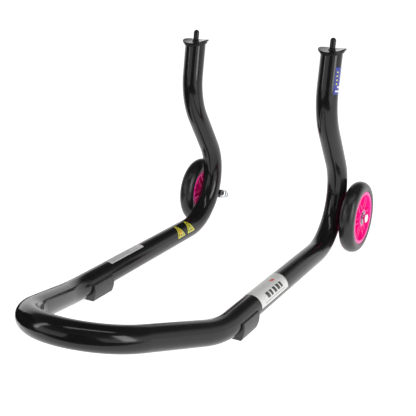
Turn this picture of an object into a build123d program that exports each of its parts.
"""Motorcycle front paddock stand: a bent tube frame on two wheels and two feet.

Millimetres. +Z is up, Y runs from the handle (-Y) to the wheels (+Y), and X = 0 is the
mirror plane. The floor is Z = 0 and Y = 0 is the middle of the stand's length.
"""

import os

from build123d import *

os.makedirs("parts", exist_ok=True)

# ---- driving dimensions ------------------------------------------------------------
tube_radius = 16.0
tube_wall = 2.0
half_track = 113.5  # mirror plane to the centre of each rail and upright
rail_height = 20.7

wheel_diameter = 115.0
wheel_width = 24.0
wheel_centre_x = 145.0
axle_y = 265.05
axle_z = wheel_diameter / 2

saddle_diameter = 41.0
saddle_thickness = 3.0
saddle_edge_radius = 0.8
saddle_trough_radius = 65.0
saddle_pitch = 4.0  # degrees, the rear edge is higher
saddle_height = 326.2  # top surface at the pin
pin_diameter = 8.5
pin_height = 17.5
pin_spigot_diameter = 6.0
pin_weld_leg = 1.6
pin_weld_height = 2.5

bolt_radius = 3.95
hex_sides = 6
hex_across_flats = 13.0
hex_radius = hex_across_flats / 2
bolt_head_height = 5.3
bolt_head_chamfer = 0.7
bolt_tip_chamfer = 0.8
bolt_length = 65.0
nut_height = 8.0
nut_hex_height = 6.0
nut_chamfer = 0.8
nut_collar_radius = 5.8
insert_radius = 5.0
insert_height = 2.0
insert_recess = 0.6
washer_radius = 8.3
spacer_radius = 5.8
boss_radius = 7.25
boss_bore_radius = 4.2

bearing_bore_radius = 4.0
bearing_outer_radius = 11.0
bearing_width = 7.0
ball_radius = 1.985
ball_pitch_radius = 7.5
ball_count = 7
raceway_radius = 2.03
foot_gap = 0.15

foot_front_y = axle_y - 375.0
foot_length = 43.0

# ---- frame route: Y is measured from the axle, one entry per bend ----------------------
upright_top = (-72.5, 330.5)
upright_bends = [
    # y, z, bend radius
    (-88.0, 236.5, 98.0),
    (-9.0, 124.5, 77.0),
    (-16.5, 64.0, 80.0),
    (-64.5, rail_height, 82.0),
    (-401.0, rail_height, 131.0),
]
shoulder_bend = (64.9, -546.5, 61.0, 91.0)  # x, y, z, bend radius
crossbar_bend = (-580.5, 72.0, 66.0)  # y, z, bend radius

# ---- stations of the axle stack, distance from the mirror plane -----------------------
nut_inner = 91.0
nut_outer = nut_inner + nut_height
insert_inner = nut_inner + insert_recess
insert_outer = insert_inner + insert_height
boss_inner = 100.5
boss_outer = 133.5
inner_bearing = 134.5
inner_bearing_end = inner_bearing + bearing_width
outer_bearing = 148.5
outer_bearing_end = outer_bearing + bearing_width
bolt_head_face = 157.0
sides = [("left", -1), ("right", 1)]

axle_axis = Axis((0, axle_y, axle_z), (1, 0, 0))
axle_plane = Plane(origin=(0, axle_y, axle_z), x_dir=(1, 0, 0), z_dir=(0, 0, 1))


def export(builder, name):
    """Label a finished piece and write its STEP file."""
    builder.part.label = name
    export_step(builder.part, f"parts/{name}.step")


def turned_rings(rings, grooves=()):
    """Rings turned about the axle; each is (first x, last x, inner radius, outer radius).

    A groove is the station of a row of balls, which cuts its raceway into the rings.
    """
    with BuildPart() as turned:
        with BuildSketch(axle_plane):
            for first, last, inner, outer in rings:
                with Locations(((first + last) / 2, (inner + outer) / 2)):
                    Rectangle(abs(last - first), outer - inner)
            for x in grooves:
                with Locations((x, ball_pitch_radius)):
                    Circle(raceway_radius, mode=Mode.SUBTRACT)
        revolve(axis=axle_axis)
    return turned


def across_axle(x):
    """Plane square to the axle at station x."""
    return Plane(origin=(x, axle_y, axle_z), x_dir=(0, 1, 0), z_dir=(1, 0, 0))


# ---- frame tube ---------------------------------------------------------------------------
right_route = [(half_track, axle_y + upright_top[0], upright_top[1])]
right_route += [(half_track, axle_y + y, z) for y, z, _ in upright_bends]
right_route += [(shoulder_bend[0], axle_y + shoulder_bend[1], shoulder_bend[2])]
right_radii = [radius for _, _, radius in upright_bends] + [shoulder_bend[3]]
left_route = [(-x, y, z) for x, y, z in reversed(right_route)]
crossbar_centre = (0, axle_y + crossbar_bend[0], crossbar_bend[1])
route = right_route + [crossbar_centre] + left_route
bend_radii = right_radii + [crossbar_bend[2]] + right_radii[::-1]

tube_top = Vector(*right_route[0])
upright_direction = (tube_top - Vector(*right_route[1])).normalized()
lean = upright_direction.Y / upright_direction.Z
saddle_y = tube_top.Y - lean * (tube_top.Z - saddle_height)


def saddle_plane(side):
    """Working plane at the middle of a saddle's top face, tipped by its pitch."""
    level = Plane(origin=(side * half_track, saddle_y, saddle_height), x_dir=(1, 0, 0))
    return level.rotated((saddle_pitch, 0, 0))


with BuildPart() as frame_tube:
    with BuildLine():
        FilletPolyline(*route, radius=bend_radii)
    with BuildSketch(Plane(origin=tube_top, z_dir=-upright_direction)):
        Circle(tube_radius)
        Circle(tube_radius - tube_wall, mode=Mode.SUBTRACT)
    sweep()
    for _, side in sides:
        with Locations(saddle_plane(side).offset(saddle_trough_radius).location):
            Cylinder(
                saddle_trough_radius + saddle_thickness,
                2 * saddle_diameter,
                rotation=(90, 0, 0),
                mode=Mode.SUBTRACT,
            )
export(frame_tube, "frame_tube")

# ---- saddles, lift pins and feet --------------------------------------------------------
foot_outline = [(18.2, 3.0), (19.0, -6.0), (17.6, -13.5), (14.6, -rail_height)]
foot_lip = (15.9, 3.6)

pin_radius = pin_diameter / 2
pin_wall_top = pin_height - pin_radius

for name, side in sides:
    pin_plane = Plane(
        origin=(side * half_track, saddle_y, saddle_height),
        x_dir=(1, 0, 0),
        z_dir=upright_direction,
    )
    trough_axis = saddle_plane(side).offset(saddle_trough_radius).location

    with BuildPart() as saddle:
        with Locations(saddle_plane(side).location):
            Cylinder(saddle_diameter / 2, saddle_diameter)
        with Locations(trough_axis):
            Cylinder(
                saddle_trough_radius + saddle_thickness,
                2 * saddle_diameter,
                rotation=(90, 0, 0),
                mode=Mode.INTERSECT,
            )
            Cylinder(
                saddle_trough_radius,
                2 * saddle_diameter,
                rotation=(90, 0, 0),
                mode=Mode.SUBTRACT,
            )
        fillet(saddle.edges(), saddle_edge_radius)
        with Locations(pin_plane.location):
            Cylinder(pin_spigot_diameter / 2, saddle_diameter, mode=Mode.SUBTRACT)
    export(saddle, f"{name}_saddle")

    with BuildPart() as lift_pin:
        with BuildSketch(pin_plane):
            Circle(pin_radius)
        extrude(amount=pin_wall_top)
        with BuildSketch(pin_plane.offset(-saddle_thickness)):
            Circle(pin_radius + pin_weld_leg)
        extrude(amount=saddle_thickness)
        with Locations(pin_plane.offset(pin_weld_height / 2).location):
            Cone(pin_radius + pin_weld_leg, pin_radius, pin_weld_height)
        with Locations(trough_axis):
            Cylinder(
                saddle_trough_radius,
                2 * saddle_diameter,
                rotation=(90, 0, 0),
                mode=Mode.INTERSECT,
            )
        with BuildSketch(pin_plane.offset(-2 * saddle_thickness)):
            Circle(pin_spigot_diameter / 2)
        extrude(amount=2 * saddle_thickness + pin_radius)
        with Locations(pin_plane.offset(pin_wall_top).location):
            Sphere(pin_radius)
    export(lift_pin, f"{name}_lift_pin")

    foot_plane = Plane(
        origin=(side * half_track, foot_front_y, rail_height),
        x_dir=(-1, 0, 0),
        z_dir=(0, 1, 0),
    )
    with BuildPart() as foot:
        with BuildSketch(foot_plane):
            with BuildLine():
                Spline(foot_outline)
                Line(foot_outline[-1], (-foot_outline[-1][0], foot_outline[-1][1]))
                Spline([(-x, y) for x, y in reversed(foot_outline)])
                Polyline(
                    (-foot_outline[0][0], foot_outline[0][1]),
                    (-foot_lip[0], foot_lip[1]),
                    foot_lip,
                    foot_outline[0],
                )
            make_face()
            Circle(tube_radius + foot_gap, mode=Mode.SUBTRACT)
        extrude(amount=foot_length)
    export(foot, f"{name}_foot")

# ---- axles: boss tube, bolt, lock nut, washers --------------------------------------------
for name, side in sides:
    inner_face, outer_face = (0, -1) if side > 0 else (-1, 0)  # in order along X
    boss = turned_rings([(side * boss_inner, side * boss_outer, boss_bore_radius, boss_radius)])
    export(boss, f"{name}_axle_boss")

    with BuildPart() as axle_bolt:
        with BuildSketch(across_axle(side * bolt_head_face)):
            RegularPolygon(hex_radius, hex_sides, major_radius=False)
        extrude(amount=side * bolt_head_height)
        chamfer(axle_bolt.faces().sort_by(Axis.X)[outer_face].edges(), bolt_head_chamfer)
        with BuildSketch(across_axle(side * bolt_head_face)):
            Circle(bolt_radius)
        extrude(amount=-side * bolt_length)
        chamfer(axle_bolt.faces().sort_by(Axis.X)[inner_face].edges(), bolt_tip_chamfer)
    export(axle_bolt, f"{name}_axle_bolt")

    with BuildPart() as lock_nut:
        with BuildSketch(across_axle(side * nut_outer)):
            RegularPolygon(hex_radius, hex_sides, major_radius=False)
        extrude(amount=-side * nut_hex_height)
        chamfer(lock_nut.faces().sort_by(Axis.X)[inner_face].edges(), nut_chamfer)
        with BuildSketch(across_axle(side * (nut_outer - nut_hex_height))):
            Circle(nut_collar_radius)
        extrude(amount=-side * (nut_height - nut_hex_height))
        with BuildSketch(across_axle(side * nut_outer)):
            Circle(bolt_radius)
        extrude(amount=-side * nut_height, mode=Mode.SUBTRACT)
        with BuildSketch(across_axle(side * insert_inner)):
            Circle(insert_radius)
        extrude(amount=side * insert_height, mode=Mode.SUBTRACT)
    export(lock_nut, f"{name}_lock_nut")

nut_inserts = turned_rings(
    [(side * insert_inner, side * insert_outer, bolt_radius, insert_radius) for _, side in sides]
)
export(nut_inserts, "nut_inserts")

nut_washers = turned_rings(
    [(side * nut_outer, side * boss_inner, bolt_radius, washer_radius) for _, side in sides]
)
export(nut_washers, "nut_washers")

head_washers = turned_rings(
    [
        (side * outer_bearing_end, side * bolt_head_face, bolt_radius, washer_radius)
        for _, side in sides
    ]
)
export(head_washers, "head_washers")

shim_washers = turned_rings(
    [(side * boss_outer, side * inner_bearing, bolt_radius, spacer_radius) for _, side in sides]
)
export(shim_washers, "shim_washers")

bearing_spacers = turned_rings(
    [
        (side * inner_bearing_end, side * outer_bearing, bearing_bore_radius, spacer_radius)
        for _, side in sides
    ]
)
export(bearing_spacers, "bearing_spacers")

# ---- bearings: two deep-groove ball bearings in each wheel ----------------------------------
inner_ring_radius = 6.2
outer_ring_bore = 9.1
shield_bore = inner_ring_radius + 0.25
shield_thickness = 0.3
shield_recess = 0.3
shield_depth = shield_recess + shield_thickness
cage_inner_radius = 6.6
cage_outer_radius = 8.4
cage_start = 0.9  # from the middle of the balls
cage_end = 2.6

for name, side in sides:
    half = bearing_width / 2
    centres = [side * (start + half) for start in (inner_bearing, outer_bearing)]
    inner_rings = turned_rings(
        [(x - half, x + half, bearing_bore_radius, inner_ring_radius) for x in centres], centres
    )
    export(inner_rings, f"{name}_bearing_inner_rings")

    outer_rings = turned_rings(
        [(x - half, x + half, outer_ring_bore, bearing_outer_radius) for x in centres], centres
    )
    export(outer_rings, f"{name}_bearing_outer_rings")

    shield_face = half - shield_recess
    shield_back = half - shield_depth
    shields = turned_rings(
        [
            (x + end * shield_face, x + end * shield_back, shield_bore, outer_ring_bore)
            for x in centres
            for end in (-1, 1)
        ]
    )
    export(shields, f"{name}_bearing_shields")

    with BuildPart() as balls:
        for x in centres:
            with Locations(across_axle(x)):
                with PolarLocations(ball_pitch_radius, ball_count):
                    Sphere(ball_radius)
    export(balls, f"{name}_bearing_balls")

    with BuildPart() as cages:
        cage_rings = [
            (x + cage_start, x + cage_end, cage_inner_radius, cage_outer_radius) for x in centres
        ]
        add(turned_rings(cage_rings).part)
        for x in centres:
            with Locations(across_axle(x)):
                with PolarLocations(ball_pitch_radius, ball_count):
                    Sphere(raceway_radius, mode=Mode.SUBTRACT)
    export(cages, f"{name}_bearing_cages")

# ---- wheels: moulded hub and cast tyre ------------------------------------------------------
hub_face_radius = 42.3
hub_half_width = 11.5
key_radius = 46.0
key_half_width = 4.0
rim_inner_radius = 37.0
hub_boss_radius = 15.0
hub_boss_half_width = 11.0
hub_bore_radius = 9.2  # between the bearings
web_half_thickness = 1.6
spoke_count = 6
rib_thickness = 2.2
rib_spread = 4.4
rib_half_depth = 8.8
rib_overlap = 1.0  # into the boss and into the rim
rib_length = rim_inner_radius - hub_boss_radius + 2 * rib_overlap
tyre_shoulder_radius = 47.5

bearing_gap = (outer_bearing - inner_bearing_end) / 2
hub_rings = [
    # half width, inner radius, outer radius
    (hub_half_width, rim_inner_radius, hub_face_radius),
    (key_half_width, rim_inner_radius, key_radius),
    (web_half_thickness, hub_bore_radius, hub_face_radius),
    (bearing_gap, hub_bore_radius, hub_boss_radius),
    (hub_boss_half_width, bearing_outer_radius, hub_boss_radius),
]

for name, side in sides:
    middle = side * wheel_centre_x

    with BuildPart() as hub:
        add(
            turned_rings(
                [
                    (middle - half_width, middle + half_width, inner, outer)
                    for half_width, inner, outer in hub_rings
                ]
            ).part
        )
        with BuildSketch(across_axle(middle)):
            with PolarLocations((hub_boss_radius + rim_inner_radius) / 2, spoke_count):
                with Locations((0, rib_spread), (0, -rib_spread)):
                    Rectangle(rib_length, rib_thickness)
        extrude(amount=rib_half_depth, both=True)
    export(hub, f"{name}_hub")

    with BuildPart() as tyre:
        with BuildSketch(axle_plane):
            with BuildLine():
                EllipticalCenterArc(
                    (middle, tyre_shoulder_radius),
                    wheel_width / 2,
                    wheel_diameter / 2 - tyre_shoulder_radius,
                    arc_size=180,
                )
                Polyline(
                    (middle - wheel_width / 2, tyre_shoulder_radius),
                    (middle - hub_half_width, hub_face_radius),
                    (middle + hub_half_width, hub_face_radius),
                    (middle + wheel_width / 2, tyre_shoulder_radius),
                )
            make_face()
            with Locations((middle, hub_face_radius)):
                Rectangle(2 * key_half_width, 2 * (key_radius - hub_face_radius), mode=Mode.SUBTRACT)
        revolve(axis=axle_axis)
    export(tyre, f"{name}_tyre")

print("frame tube volume", round(frame_tube.part.volume), "box", frame_tube.part.bounding_box())
